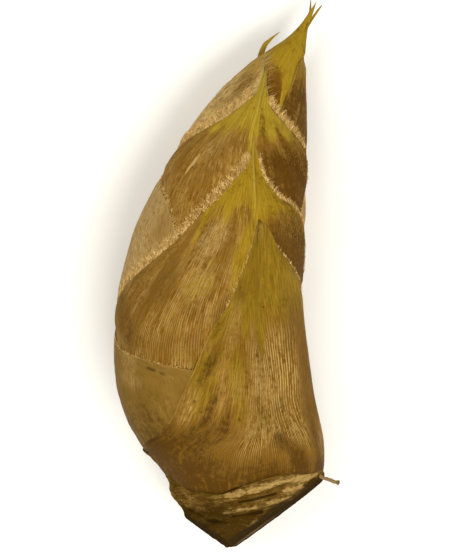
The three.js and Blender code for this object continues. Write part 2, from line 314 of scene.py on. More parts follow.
def near(at, paths):
    """1 on lines drawn on the upper face, dying away over their half widths."""
    total = np.zeros(len(at))
    for path, wide in paths:
        for start, end in zip(np.array(path)[:-1], np.array(path)[1:]):
            run = end - start
            share = np.clip((at[:, :2] - start) @ run / (run @ run), 0, 1)
            gap = np.hypot(*(at[:, :2] - start - share[:, None] * run).T)
            total = np.maximum(total, np.exp(-((gap / wide) ** 2)))
    return total * rise(at[:, 2], 14, 22)


def cut_place(x, z):
    heights = []
    for point, facing in CUTS:
        across = facing[0] * (x - point[0]) + facing[2] * (z - point[2])
        heights.append(point[1] - across / facing[1])
    return np.max(heights, axis=0)


def stem_place(across, up):
    angle = across * 360 - 180
    first, last = STUMP_LINE[0][0], STUMP_LINE[-1][0]
    turned = np.mod(angle - first, 360) + first
    top = np.where(turned > last, SECOND_FOOT, stump_line(turned)) + TUCK
    # the rim, where the cuts meet the outside, is found in a dozen steps
    rim = np.full_like(angle, -85.0)
    for _ in range(12):
        edge = on_shoot(rim, angle, WORN)
        rim = np.minimum(0.5 * rim + 0.5 * cut_place(edge[:, 0], edge[:, 2]), top - 2)
    # the cut: from its middle out to the rim
    share = np.clip(up / CUT_SHARE, 0, 1)
    edge = on_shoot(rim, angle, WORN)
    x = CUT_MIDDLE[0] + (edge[:, 0] - CUT_MIDDLE[0]) * share
    z = CUT_MIDDLE[1] + (edge[:, 2] - CUT_MIDDLE[1]) * share
    scrape = 0.12 * np.sin(2.1 * z + 1.3 * np.sin(0.4 * x)) + 0.1 * stump_fibres(x, z)
    lip = rise(share, 0.93, 1) * 0.5
    face = np.stack([x, cut_place(x, z) + scrape * fade(share, 0.9, 1) + lip, z], -1)
    # the bare stump: from the rim up to the foot of the outermost sheath
    along = np.clip((up - CUT_SHARE) / (STUMP_SHARE - CUT_SHARE), 0, 1)
    y = rim + (top - rim) * along
    plain = on_shoot(y, angle, 0)
    ring = y - (RING_SLANT + LOW_SLANT * np.clip(LOW_RINGS - y, 0, 20)) * plain[:, 0]
    arc = np.radians(np.mod(angle + 90, 360) - 90) * STUMP_RADIUS
    rings = ring_depth(ring + 0.7 * stump_wrinkles(arc * 0.5, ring))
    fine = 0.2 * stump_wrinkles(arc * 0.35, ring * 2.6) + 0.12 * stump_fibres(arc * 0.25, ring)
    dent = DENT["deep"] * fade(abs(turned - DENT["angle"]), 0, DENT["spread"])
    dent = dent * rise(y, DENT["from"], DENT["to"])
    clear = rise(along, 0, 0.08)
    scar, crease = near(plain, SCARS), near(plain, CREASES)
    tucked = rise(y, top - 2.2, top - 0.4)
    relief = (rings + fine - 0.3 * scar + 0.5 * crease) * (1 - 0.8 * tucked)
    depth = WORN * (1 - clear) + clear * relief + dent * (1 - tucked) + 0.45 * tucked
    bare = on_shoot(y, angle, depth)
    # the inside: hidden by the sheaths, it narrows to the growing point
    within = np.clip((up - STUMP_SHARE) / (1 - STUMP_SHARE), 0, 1)
    inner_y = top + (GROWING_POINT - top) * within
    inner = on_shoot(inner_y, angle, INNER_GAP + INNER_TAPER * within)
    core_z = underside(inner_y) + half_height(inner_y) - FLAT
    core = np.stack([middle_x(inner_y), inner_y, core_z], -1)
    close = rise(within, 0.85, 1)[:, None]
    inner = inner * (1 - close) + core * close
    points = np.where((up < CUT_SHARE)[:, None], face, bare)
    points = np.where((up > STUMP_SHARE)[:, None], inner, points)
    cut = fade(up, CUT_SHARE - 0.01, CUT_SHARE + 0.012)
    out = share + np.where(up > CUT_SHARE, y - rim, 0) * 0.1
    return points, cut, out, np.where(up > CUT_SHARE, depth, 0), ring, arc, scar, crease


stem = shaped_grid(
    "bare_stem", columns=330, rows=150, place=stem_place, weld=True,
    attributes=("cut", "out", "sunk", "ring", "arc", "scar", "crease"),
)

paint = Paint("bare stem")
ring, arc = paint.attribute("ring"), paint.attribute("arc")
cut, sunk = paint.attribute("cut"), paint.attribute("sunk")
band = paint.fibres(arc * 0.09, ring * 0.5, 0.0, 5.0, 0.65)
fibre = paint.fibres(arc * 0.3, ring * 1.7, 3.0, 4.0, 0.65)
grain = paint.noise(900.0, 3.0, 0.6)
blot = paint.noise(110.0, 5.0, 0.65)
tone = (band * 0.5 + fibre * 0.2 + blot * 0.3).between(0.42, 0.6)
# Painted shade: the lowest rings, toward the cut, are painted dark where the stump turns down, and
# their pale flecks and scars are dimmed there.
low = ring - arc.between(41.0, 50.0) * 6.0 + (blot - 0.5) * 10.0 + (band - 0.5) * 8.0
low = low.between(-72.0, -78.0)
rough_skin = fibre * 0.4 + grain * 0.35 + blot * 0.25
crown = sunk.between(-0.2, -0.9) * rough_skin.between(0.42, 0.5)
scar = paint.attribute("scar") + crown * 0.3 + (rough_skin - 0.5) * 4.0
# Painted shade: the creases, and the ring grooves and dent wherever the surface is sunk deep, are
# painted dark.
crease = paint.attribute("crease") + sunk.between(0.7, 1.4) * 0.7 + (rough_skin - 0.5) * 5.0
out = paint.attribute("out") + (blot - 0.5) * 0.25
skin = paint.layered(
    paint.mix(tone, (0.085, 0.043, 0.005), (0.18, 0.103, 0.023)),
    (low * 0.85, (0.038, 0.019, 0.002)),
    (rough_skin.between(0.52, 0.6) * 0.5 * (1 - low * 0.8), (0.38, 0.25, 0.09)),
    (rough_skin.between(0.47, 0.4) * 0.55, (0.04, 0.02, 0.003)),
    (scar.between(0.35, 1.1) * 0.65 * (1 - low * 0.4), (0.46, 0.3, 0.1)),
    (crease.between(0.4, 1.0) * 0.85, (0.02, 0.011, 0.002)),
    # a dark band just above the worn rim of the cut: partly oxidised skin, partly painted shade
    # where the edge rounds over
    (out.between(1.26, 1.12) * 0.85, (0.028, 0.017, 0.006)),
)
bundles = paint.make("ShaderNodeTexVoronoi", sockets={"Vector": paint.place(), "Scale": 700.0})
bundles = bundles.between(0.3, 0.12)
pith = (blot * 0.5 + grain * 0.5).between(0.38, 0.62)
flesh = paint.layered(
    paint.mix(pith, (0.06, 0.038, 0.014), (0.15, 0.1, 0.044)),
    (bundles * 0.8, (0.03, 0.018, 0.006)),
    # the cut face darker toward its rim: partly oxidised flesh, partly painted shade on the face
    # turned from the light
    (out.between(0.1, 0.5) * 0.9, (0.022, 0.013, 0.004)),
)
colour = paint.mix(cut, skin, flesh)
height = fibre * 0.6 + grain * 0.4 - bundles * cut * 0.5
paint.finish(stem, colour, 0.8 - 0.2 * fibre, height, 0.3, shine=0.0)
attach(stem, "root")
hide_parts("stem")

# The rootlet: a dry, wiry root no thicker than a pencil lead, still joined to the stump's last
# ring on the right, wrinkled along its length and darker at its broken end.

ROOTLET = [[26, -63.2, 36], [30.5, -65.6, 32], [33, -67, 28.6], [36, -68.1, 27.6]]
ROOTLET_RADIUS = 0.6
rootlet_wrinkles = waves(21, 5, 1, 3)


def rootlet_place(across, up):
    stations = np.array(ROOTLET, float)
    path = [curve_through(range(len(ROOTLET)), stations[:, k]) for k in range(3)]
    at = up * (len(ROOTLET) - 1)
    centre = np.stack([line(at) for line in path], -1)
    turn = across * 2 * np.pi
    ends = np.minimum(rise(up, 0, 0.03), rise(1 - up, 0, 0.03))
    wrinkles = rootlet_wrinkles(np.cos(turn), up * 12 + np.sin(turn))
    swell = 1 + 0.35 * rise(up, 0.85, 0.97) + 0.15 * wrinkles
    radius = ROOTLET_RADIUS * swell * ends
    forward = np.stack([line(at + 0.01) - line(at - 0.01) for line in path], -1)
    forward /= np.linalg.norm(forward, axis=1)[:, None]
    side = np.cross(forward, [0, 0, 1.0])
    side /= np.linalg.norm(side, axis=1)[:, None]
    lift = np.cross(side, forward)
    offset = side * np.cos(turn)[:, None] + lift * np.sin(turn)[:, None]
    return centre + offset * radius[:, None], up


rootlet = shaped_grid(
    "rootlet", columns=14, rows=60, place=rootlet_place, weld=True, attributes=("along",),
)
paint = Paint("dry rootlet")
along = paint.attribute("along")
grain = paint.noise(2500.0, 3.0, 0.6)
colour = paint.mix(grain, (0.15, 0.093, 0.032), (0.31, 0.205, 0.085))
colour = paint.mix(along.between(0.8, 1.0), colour, (0.07, 0.045, 0.02))
paint.finish(rootlet, colour, 0.8, grain, 0.1)
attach(rootlet, "root")

# ---- Outermost sheath -----------------------------------------------------------------------
# A tough leathery sheath, strongly ribbed, that grows from the last ring of the stump and wraps
# the shoot most of the way round. Its ribs run together into a yellow-green blade at the top, its
# foot is brown, and its edges thin out to a soft dry fringe that lies flat on the next sheath.

WALL = 0.45  # a sheath's thickness
MARGIN = 4  # its edges thin out over this width,
THIN = 0.25  # down to this share of the thickness
LAYER = 0.9  # from one sheath's outside to the next one's
COVER_FLAT = 0.03  # beyond a sheath's edge the next one stays under it over this distance,
COVER_RISE = 0.16  # and then rises to the outside over this one, both in half widths
FLUSH = 0.68  # how far a margin is let down, to lie on the next sheath,
SMOOTHER = 0.7  # and how much of its ribs and folds it loses
SKIN = 0.25  # how far the sheaths' mean surface lies under the shoot's form, for ribs to stand up
EDGE_STEPS = 800  # places along an edge at which its distance from the midrib is worked out
VEIN_RADIUS = 30  # the radius that the spacing of the veins is measured at
GATHERED = 26  # how far above the foot the ribs have crowded together
CROWDING = 1.25  # how much closer the mesh's rows stand toward the edge
layers = []  # the sheaths so far, outermost first


def on_side(side, pair):
    """The first of two values on a sheath's plus side (0), and the second on its minus side (1)."""
    return np.where(side == 0, *pair)


class Sheath:
    """The outline of one sheath.

    Its midrib and its two edges are [y, angle] lines down from the tip, which the edges leave
    out, and its foot is an [angle, y] line.
    """

    def __init__(
        self, rib, plus, minus, foot, fan, cap=(360, 360), gather=(0, 0), pitch=1.0, ragged=0.3,
        slack=0.0,
    ):
        self.tip = rib[0][0]
        self.rib_angle = curve_through(*np.array(rib[::-1], float).T)
        self.foot = curve_through(*np.array(foot, float).T)
        self.fan = fan  # how much the ribs run together toward the tip, on the two sides,
        self.cap = cap  # wherever the edge is nearer to the midrib than this angle,
        self.gather = gather  # and how much they crowd toward the midrib above the foot
        self.pitch = pitch  # from rib to rib
        self.slack = slack  # how much deeper than its layer it lies
        self.tear = waves(int(100 + self.tip), 7, 0.9, 5)
        self.stray = waves(int(200 + self.tip), 9, 3.5, 9)
        self.ragged = ragged  # how far its edge is torn back
        self.under = list(layers)
        self.end, self.widest, self.table = [], [], []
        for line in (plus, minus):
            edge = curve_through(*np.array([*line[::-1], rib[0]], float).T)
            y = np.linspace(line[-1][0], self.tip, EDGE_STEPS)
            reach = np.abs(edge(y) - self.rib_angle(y))
            reach = np.maximum.accumulate(reach[::-1])[::-1] + np.linspace(1e-6, 0, EDGE_STEPS)
            reach[-1] = 0
            self.end.append(line[-1][0])
            self.widest.append(reach[0])
            self.table.append((y, reach))
        layers.append(self)

    def reach(self, side, y):
        places, reach = self.table[side]
        return np.where(y >= self.tip, 0, np.interp(y, places, reach))

    def edge_place(self, side, away):
        places, reach = self.table[side]
        return np.interp(away, reach[::-1], places[::-1])

    def cover(self, y, angle):
        """1 under this sheath and 0 well clear of its edge."""
        ahead = np.mod(angle - self.rib_angle(y), 360)
        clear = []
        for side, away in enumerate((ahead, 360 - ahead)):
            aside = np.radians(away - self.reach(side, y)) * half_width(y)
            above = y - self.edge_place(side, away)
            beyond = np.minimum(np.hypot(aside, np.maximum(0, y - self.tip)), above)
            clear.append(np.where((aside <= 0) & (y < self.tip), 0, beyond))
        beyond = np.minimum(*clear) / half_width(y)
        return fade(beyond, COVER_FLAT, COVER_FLAT + COVER_RISE)

    def place(self, across, up):
        """Where a point of the sheath lies: across 0 to 1 from edge to edge, up from the foot."""
        turn = self.widest[0] - across * (self.widest[0] + self.widest[1])
        side = np.where(turn >= 0, 0, 1)
        sign = np.where(side == 0, 1, -1)
        widest = on_side(side, self.widest)
        fan = on_side(side, self.fan)
        cap = np.minimum(on_side(side, self.cap), widest)
        share = np.clip(np.abs(turn) / widest, 0, 1)
        # the place up the shoot where this rib meets the sheath's torn edge, and where it starts
        limit = share * widest
        limit = np.where(limit < cap, cap * (limit / cap) ** (1 / (1 - fan)), limit)
        stop = on_side(side, [self.edge_place(k, limit) for k in (0, 1)])
        vein = np.radians(turn) * VEIN_RADIUS
        stop = stop - self.ragged * (1 + self.tear(vein * 3, vein)) * rise(share, 0.1, 0.3)
        end = on_side(side, self.end)
        foot = self.foot(self.rib_angle(end) + sign * share * widest)
        y = stop - (stop - foot) * (1 - up) ** CROWDING
        # how far from the midrib the rib runs there
        held = np.maximum(y, end)
        reach = on_side(side, [self.reach(k, held) for k in (0, 1)])
        away = share * widest * (np.minimum(reach, cap) / cap) ** fan
        gather = on_side(side, self.gather) * rise(y - foot, 0, GATHERED)
        away = away * (1 - gather * (1 - np.clip(away / np.maximum(reach, 1e-6), 0, 1)))
        angle = self.rib_angle(y) + sign * away
        # how far it is from the edge
        aside = np.radians(np.maximum(reach - away, 0)) * half_width(y)
        above = np.maximum(stop - y, 0)
        edge = aside * above / np.maximum(np.hypot(aside, above), 1e-6)
        covers = [outer.cover(y, angle) for outer in self.under]
        vein = vein + 0.22 * self.stray(vein, (self.tip - y) * 0.12)
        return SimpleNamespace(
            y=y,
            angle=angle,
            vein=vein,
            crest=0.5 + 0.5 * np.cos(2 * np.pi * vein / self.pitch),  # 0 in a furrow, 1 on a rib
            mid=sign * np.radians(away) * half_width(y),
            along=self.tip - y,
            edge=edge,
            height=y - foot,
            covered=np.max(covers, axis=0) if covers else 0 * y,
            depth=SKIN + LAYER * np.sum(covers, axis=0) + self.slack,
        )


def spots(at, *patches):
    """Soft patches on the upper face: strength, x, y, half length, half width and turn of each."""
    total = 0
    for strength, x, y, long, wide, turn in patches:
        cos, sin = math.cos(math.radians(turn)), math.sin(math.radians(turn))
        dx, dy = at[:, 0] - x, at[:, 1] - y
        reach = np.hypot((dx * cos + dy * sin) / long, (dy * cos - dx * sin) / wide)
        total = total + strength * (fade(reach, 0.25, 1) * rise(at[:, 2], 8, 16))
    return total


def keel(at, high, wide, start, stop):
    """A raised midrib, sharp along its top, that dies away down the sheath."""
    sharp = np.exp(-np.abs(at.mid) / wide) * rise(at.along, 0, 6)
    return high * sharp * fade(at.along, start, stop)


def rippled(at, folds, deep, clear, lift, pace):
    """Soft folds that die out short of the edge, and an edge that lifts here and there."""
    soft = deep * folds(at.vein, at.along * 0.5) * rise(at.edge, 0, clear)
    return soft + lift * fade(at.edge, 0, 1.5) * np.sin(at.along * pace + at.vein) - 0.15


MARKS = ("vein", "mid", "along", "edge", "ribbed", "yellow", "brown", "dark", "pale")


def sheath_mesh(name, sheath, relief, marks, columns, rows):
    """A skin that follows the layers under it, and the marks that its paint reads."""

    def place(across, up):
        at = sheath.place(across, up)
        thin = fade(at.edge, 0, MARGIN)
        raised = (relief(at) * (1 - SMOOTHER * thin) - FLUSH * thin) * (1 - at.covered)
        floor = np.maximum(at.depth - SKIN, 0)
        point = on_shoot(at.y, at.angle, at.depth - raised, floor)
        painted = {**vars(at), **marks(at, point)}
        return [point] + [painted.get(mark, 0.0) for mark in MARKS]

    piece = shaped_grid(name, columns, rows, place, attributes=MARKS)
    thick = piece.vertex_groups.new(name="thick")
    edge = np.zeros(len(piece.data.vertices))
    piece.data.attributes["edge"].data.foreach_get("value", edge)
    steps = 10  # from thin to thick
    for step in range(steps + 1):
        members = np.flatnonzero(np.round(rise(edge, 0, MARGIN) * steps) == step)
        thick.add([int(i) for i in members], step / steps, "REPLACE")
    wall = piece.modifiers.new("wall", "SOLIDIFY")
    wall.thickness = WALL * MM
    wall.offset = -1
    wall.vertex_group = "thick"
    wall.thickness_vertex_group = THIN
    return piece


def sheath_paint(
    piece, sheath, name, bump, tones, streak=1.0, furrow_shade=0.5, midrib=0.0, finer=False
):
    """A dry leathery skin: long fibres in several browns, with a yellow-green blade above them.

    Its tones are tan, brown, dark, yellow, olive and straw, the colour of dry fibres, which also
    serves for painted highlights along the fibres, on the rib crests and in some pale patches.
    """
    tan, brown, dark, yellow, olive, straw_and_highlight = tones
    paint = Paint(name)
    vein, along, edge = paint.attribute("vein"), paint.attribute("along"), paint.attribute("edge")
    mid = paint.attribute("mid")
    lane = vein + paint.noise(110.0, 2.0, 0.5) * 1.2
    wide = paint.fibres(lane * 0.12, along * 0.07, 0.0, 3.0, 0.6)
    fine = paint.fibres(lane * 0.9, along * 0.13, 5.0, 4.0, 0.65)
    hair = paint.fibres(lane * 2.6, along * 0.22, 9.0, 3.0, 0.65)
    blot = paint.noise(110.0, 6.0, 0.68)
    fleck = paint.noise(700.0, 4.0, 0.7)
    # the skin in three browns, by broad patches, short fibres and fine hairs; the glints are
    # painted highlights along the hairs
    patchy = (wide * 0.4 + fine * 0.4 + blot * 0.2).between(0.44, 0.56)
    stain = (blot * 0.4 + fine * 0.4 + fleck * 0.2).between(0.5, 0.58)
    glint = (hair * 0.5 + fleck * 0.2 + fine * 0.3).between(0.51, 0.6)
    glint = glint * (1 - paint.attribute("dark") * 0.75)
    gap = (hair * 0.6 + fleck * 0.4).between(0.48, 0.41)
    tint = paint.attribute("brown")
    tinted = (tint + (fine * 0.6 + blot * 0.6 - 0.6) * 4.0 * tint).between(0.1, 0.9)
    # ribs: crests painted pale as highlight, and furrows painted dark as shade
    phase = (vein * (2 * math.pi / sheath.pitch)).math("COSINE")
    if finer:  # twice as many ribs toward the foot, where they spread apart
        twice = (vein * (4 * math.pi / sheath.pitch)).math("COSINE")
        low = along.between(50.0, 68.0)
        phase = phase * (1 - low) + twice * low
    ribbed = paint.attribute("ribbed")
    lit = (phase + (fleck - 0.5) * 3.5 + (fine - 0.5) * 5.0).between(0.2, 1.0)
    sunk = (phase * -1 + (fleck - 0.5) * 2.5 + (fine - 0.5) * 4.0).between(0.2, 1.0)
    # the yellow-green of the blade
    blade = paint.mix((fine * 0.5 + hair * 0.5).between(0.43, 0.57), olive, yellow)
    blade = paint.mix((fleck * 0.5 + blot * 0.5).between(0.52, 0.6) * 0.45, blade, brown)
    flame = paint.attribute("yellow")
    flame = flame + ((fine - 0.5) * 0.8 + (hair - 0.5) * 0.6 + (blot - 0.5) * 1.8)
    skin = paint.layered(
        paint.mix(patchy, brown, tan),
        (stain * 0.6 * streak, dark),
        (glint * 0.55 * streak, straw_and_highlight),
        (gap * 0.55 * streak, dark),
        (tinted * 0.75, brown),
        (lit * ribbed * 0.85, straw_and_highlight),
        (sunk * (ribbed * 0.8 + 0.12) * furrow_shade, dark),
        (flame.between(0.12, 0.88), blade),
    )
    # the midrib: a pale painted highlight along its ridge, and painted shade beside it on the right
    if midrib:
        fading = along.between(midrib, midrib * 0.5)
        line = mid + (fleck - 0.5) * 0.25
        line = line.between(-0.45, -0.05) * line.between(0.5, 0.05)
        line = line * fading * along.between(0.5, 5.0)
        midrib_shade = mid.between(-1.5, -0.5) * mid.between(-0.2, -0.5) * fading
        skin = paint.layered(skin, (line * 0.45, (0.55, 0.4, 0.08)), (midrib_shade * 0.15, dark))
    # stains and painted shade, pale patches and painted highlights, the edge and small dark spots
    stain_and_shade = paint.attribute("dark")
    stain_and_shade = stain_and_shade + ((fine - 0.5) * 2.6 + (blot - 0.5) * 1.6 + (fleck - 0.5) * 2.6) * stain_and_shade
    pale_and_highlight = paint.attribute("pale")
    pale_and_highlight = pale_and_highlight + ((hair - 0.5) * 3.0 + (fleck - 0.5) * 2.5) * pale_and_highlight
    rim = edge + (hair - 0.5) * 2.0 + (fleck - 0.5) * 2.0
    speck = paint.noise(330.0, 3.0, 0.6) * 0.75 + blot * 0.25
    skin = paint.layered(
        skin,
        (stain_and_shade.between(0.05, 0.95) * 0.88, dark),
        (pale_and_highlight.between(0.05, 0.95) * 0.9, straw_and_highlight),
        (rim.between(0.5, 0.0) * 0.25, straw_and_highlight),
        (speck.between(0.635, 0.68) * 0.6, dark),
    )
    rough = 0.45 + 0.2 * hair + 0.2 * fleck
    height = fine * 0.3 + hair * 0.5 + fleck * 0.5 + phase * ribbed * 0.25
    paint.finish(piece, skin, rough, height, bump)


HAIR_RADIUS = 0.05
HAIR_LAP = 0.8  # the hairs come down to the next sheath over this distance beyond the edge,
HAIR_OVER = 0.08  # lie this far above its mean surface,
HAIR_LEAST = 0.12  # stay this far out of it where it is still covered,
HAIR_FLOOR = 0.06  # and this far off the table


def fringe(
    name, sheath, count, length, seed, low, bare=8.0, band=(0.4, 0.4), beyond=(0.0, 0.0), out=0.7,
    tones=((0.3, 0.172, 0.037), (0.93, 0.63, 0.24)),
):
    """Fine dry hairs along a sheath's two edges, combed up and outward over the next sheath.

    They start at the places low on the two edges, leave the blade's last bare millimetres free,
    and are rooted in a band that reaches inward from the edge and beyond it.
    """
    random = np.random.default_rng(seed)
    # one thin cone in three steps, doubled until there are enough
    bm = bmesh.new()
    bmesh.ops.create_cone(bm, cap_ends=True, segments=3, radius1=1, radius2=0.25, depth=1)
    upright = [edge for edge in bm.edges if abs(edge.verts[0].co.z - edge.verts[1].co.z) > 0.5]
    bmesh.ops.subdivide_edges(bm, edges=upright, cuts=2, use_grid_fill=True)
    size = len(bm.verts)
    while len(bm.verts) < size * count:
        bmesh.ops.duplicate(bm, geom=bm.verts[:] + bm.edges[:] + bm.faces[:])
    total = len(bm.verts) // size
    # the roots, at random along both edges
    roots = []
    for side in (0, 1):
        y, reach = sheath.table[side]
        arc = np.radians(reach) * half_width(y)
        step = np.hypot(np.diff(arc), np.diff(y))
        step = step * (y[1:] > low[side]) * (y[1:] < sheath.tip - bare)
        roots.append((y, arc, np.gradient(arc, y), np.concatenate([[0], np.cumsum(step)])))
    lengths = [entry[3][-1] for entry in roots]
    pick = random.uniform(0, sum(lengths), total)
    side = np.where(pick < lengths[0], 0, 1)
    way = np.where(side == 0, pick, pick - lengths[0])
    y, arc, slope = (
        on_side(side, [np.interp(way, entry[3], entry[k]) for entry in roots])
        for k in range(3)
    )
    inward = on_side(side, band) * random.uniform(0, 1, total) ** 2
    taper = rise(y - on_side(side, low), 0, 12)
    inward = inward - on_side(side, beyond) * taper * random.uniform(0, 1, total) ** 1.5
    # the way each hair is combed, its length, its bend and how far it stands up
    steep = np.hypot(1, slope)
    outward = np.stack([1 / steep, -slope / steep], -1)
    clump = waves(seed, 7, 1.5, 6)
    lean = random.normal(0, 0.35, total) + 0.6 * clump(way, inward)
    comb = outward * out + np.array([0.0, 1.0]) + outward[:, ::-1] * [[1, -1]] * lean[:, None]
    comb /= np.linalg.norm(comb, axis=1)[:, None]
    reach = length * random.uniform(0.3, 1.0, total)
    curl = random.normal(0, 0.45, total) + 0.7 * clump(inward, way)
    stand = random.uniform(0.0, 1.0, total) ** 2 * 0.35
    sign = np.where(side == 0, 1, -1)
    vertices = np.array([vertex.co[:] for vertex in bm.verts])
    hair = np.arange(len(vertices)) // size

    def centre(t):
        """Where the middle of each hair is at the share t of its length."""
        go = reach[hair] * t
        bend = curl[hair] * t * t * reach[hair]
        step = comb[hair] * go[:, None] + comb[hair][:, ::-1] * [[1, -1]] * bend[:, None]
        past = np.sum(step * outward[hair], axis=1) - inward[hair]
        a = arc[hair] - inward[hair] * outward[hair, 0] + step[:, 0]
        b = y[hair] - inward[hair] * outward[hair, 1] + step[:, 1]
        angle = sheath.rib_angle(b) + sign[hair] * np.degrees(a / half_width(b))
        over = np.sum([outer.cover(b, angle) for outer in sheath.under] + [0 * b], axis=0)
        inside = FLUSH * fade(-past, 0, MARGIN) - HAIR_RADIUS
        lap = (LAYER - FLUSH) * np.exp(-np.maximum(past, 0) / HAIR_LAP)
        outside = LAYER * sheath.cover(b, angle) - lap - HAIR_OVER
        own = np.where(past < 0, inside, np.minimum(outside, LAYER - HAIR_LEAST))
        loft = stand[hair] * (np.sin(np.pi * np.clip(t, 0, 1)) + 0.5 * t)
        depth = SKIN + LAYER * over + sheath.slack + own - loft
        return on_shoot(b, angle, depth, floor=HAIR_FLOOR)

    # the cones' points, put round those middles
    t = vertices[:, 2] + 0.5
    middle = centre(t)
    ahead = centre(t + 0.05) - middle
    ahead /= np.linalg.norm(ahead, axis=1)[:, None] + 1e-9
    across = np.cross(ahead, [0.0, 0.0, 1.0])
    across /= np.linalg.norm(across, axis=1)[:, None] + 1e-9
    over = np.cross(ahead, across)
    thick = HAIR_RADIUS * random.uniform(0.6, 1.4, total)[hair][:, None]
    points = middle + thick * (across * vertices[:, :1] + over * vertices[:, 1:2])
    points = (points + ORIGIN) * MM
    tone = bm.verts.layers.float.new("tone")
    shades = np.clip(random.uniform(0, 1, total) + 0.3 * clump(way * 1.7, inward), 0, 1)
    for i, vertex in enumerate(bm.verts):
        vertex.co = points[i]
        vertex[tone] = shades[hair[i]]
    piece = made_piece(bm, name)
    paint = Paint(name)
    colour = paint.mix(paint.attribute("tone"), *tones)
    grain = paint.noise(3000.0, 2.0, 0.5)
    paint.finish(piece, colour, 0.55 + 0.1 * grain, grain, 0.02)
    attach(piece, "root")


outer = Sheath(
    rib=[[17.7, 64], [-30, 60], [-54, 69], [-62, 74]],
    plus=[
        [12.4, 65.5], [3.4, 70], [-8.2, 78], [-17.9, 89.5], [-28.4, 99.2], [-42.1, 115.6],
        [-48.1, 128.9], [-54, 156],
    ],
    minus=[
        [15.6, 57.1], [8.3, 44.5], [1.1, 23.5], [-12, -20], [-24, -50], [-37, -80],
        [-48, -110], [-57, -161],
    ],
    foot=STUMP_LINE, fan=(0.88, 0.5), cap=(360, 95), gather=(0.6, 0.65), pitch=1.6,
)
outer_folds = waves(31, 7, 14, 40)
outer_patches = waves(32, 8, 8, 26)


def outer_relief(at):
    strong = rise(at.along, 20, 45) * rise(at.height, 0, 9)
    right = rise(-at.vein, -4, 4) * fade(-at.vein, 45, 60)
    worn = 0.7 + 0.3 * outer_patches(at.vein * 2.5, at.along * 0.9)
    ridge = at.crest * (0.03 + 0.1 * strong * worn * (0.3 + 0.7 * right))
    midrib = keel(at, high=0.5, wide=1.5, start=15, stop=40)
    return ridge + midrib + rippled(at, outer_folds, deep=0.2, clear=6, lift=0.14, pace=0.9)


def outer_marks(at, point):
    vein, along, height = at.vein, at.along, at.height
    wander = outer_patches(vein * 0.8, along * 0.35)
    left = fade(at.edge + 1.5 * wander, 5, 12) * rise(vein, -2, 2)
    left = 0.5 * left * fade(along + 4 * wander, 50, 64)
    gold = spots(point, (0.7, 2, -33, 18, 4.5, 92))
    middle = fade(along + 4 * wander, 28, 44)
    middle = middle * (1 - 0.6 * rise(-vein, 14, 26) * rise(along, 22, 32))
    foot = fade(height + 3 * wander, 3, 17)
    base = fade(height + 1.5 * wander, 0.5, 7)
    rib = rise(-vein, -17, -8) * fade(-vein, 19, 28)
    rib = rib * rise(along, 28, 42) * (0.25 + 0.75 * rise(height, 5, 16))
    # the lower left is darker brown, and is also painted darker as shade where the sheath turns
    # down and away from the light
    low_left = rise(vein, 8, 30) * rise(along, 52, 68)
    slant = rise(vein, 8, 18) * rise(along, 44, 58) * fade(vein, 50, 70)
    far_right = rise(-vein, 20, 32)
    notch = spots(point, (1, 9.6, 17.4, 2.2, 1.2, 60))
    smudge = spots(
        point, (1, -6, -27, 13, 3, 62), (0.8, -1.5, -45, 9, 2, 78), (0.7, 3, -6, 9, 3, 80),
        (0.6, -4, -16, 7, 2.5, 60), (0.9, -5.5, -39, 10, 2.5, 70), (0.6, 18, -12, 18, 4, 97),
    )
    patch = spots(
        point, (0.75, 21.5, -57, 8, 4, 100), (0.65, 16, -51, 6, 3.5, 150),
        (0.5, -8, -63, 8, 3.5, 150),
    )
    tongue = (-12.5, -39, 12, 5.5, 64)
    # paler patches; the one over the ribs at (10, -32) is a painted highlight where the ribs catch
    # the light
    paler_patches = spots(
        point, (0.4, 31, -53, 15, 5, 100), (0.15, 22, -30, 30, 3.5, 97), (0.25, *tongue),
        (0.3, 10, -32, 13, 7, 95), (0.25, 9, 14, 6, 3, 85), (0.3, 1, -15, 16, 4, 78),
        (0.25, 2, -34, 12, 4, 90),
    )
    clear = 1 - spots(point, (1, *tongue))
    return {
        "yellow": np.clip(np.max([left, gold, 0.8 * middle], axis=0) * (1 - foot), 0, 1),
        "ribbed": np.maximum(rib, 0.25 * slant * rise(height, 2, 8) * clear),
        "brown": np.clip(
            (1.3 * foot + 0.8 * low_left + 0.5 * rise(vein, 10, 20) + 0.3 * wander) * clear
            + 0.7 * far_right, 0, 1.4,
        ),
        "dark": np.clip(
            patch + 0.7 * low_left * clear + 0.4 * base + 0.4 * foot + notch + 0.55 * smudge
            + 0.35 * far_right * rise(along, 20, 40), 0, 1,
        ),
        "pale": np.clip(paler_patches, 0, 1),
    }


sheath_1 = sheath_mesh("outermost_sheath", outer, outer_relief, outer_marks, columns=600, rows=44)
sheath_paint(
    sheath_1, outer, "ribbed sheath", bump=0.35, furrow_shade=0.35, finer=True,
    tones=[
        (0.31, 0.17, 0.03), (0.175, 0.082, 0.006), (0.07, 0.03, 0.002),
        (0.28, 0.17, 0.012), (0.18, 0.105, 0.005), (0.51, 0.33, 0.1),
    ],
)
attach(sheath_1, "root")
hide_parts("sheath_1")
fringe(
    "outermost_fringe", outer, count=256, length=1.0, seed=311, low=(-12, -10),
    beyond=(0.5, 0.3), out=0.3,
)

# ---- Second sheath --------------------------------------------------------------------------
# The sheath on the far side. It wraps round to the front at the lower left, where it is thin,
# smooth and dull like old parchment, and shows its bright upper edge.

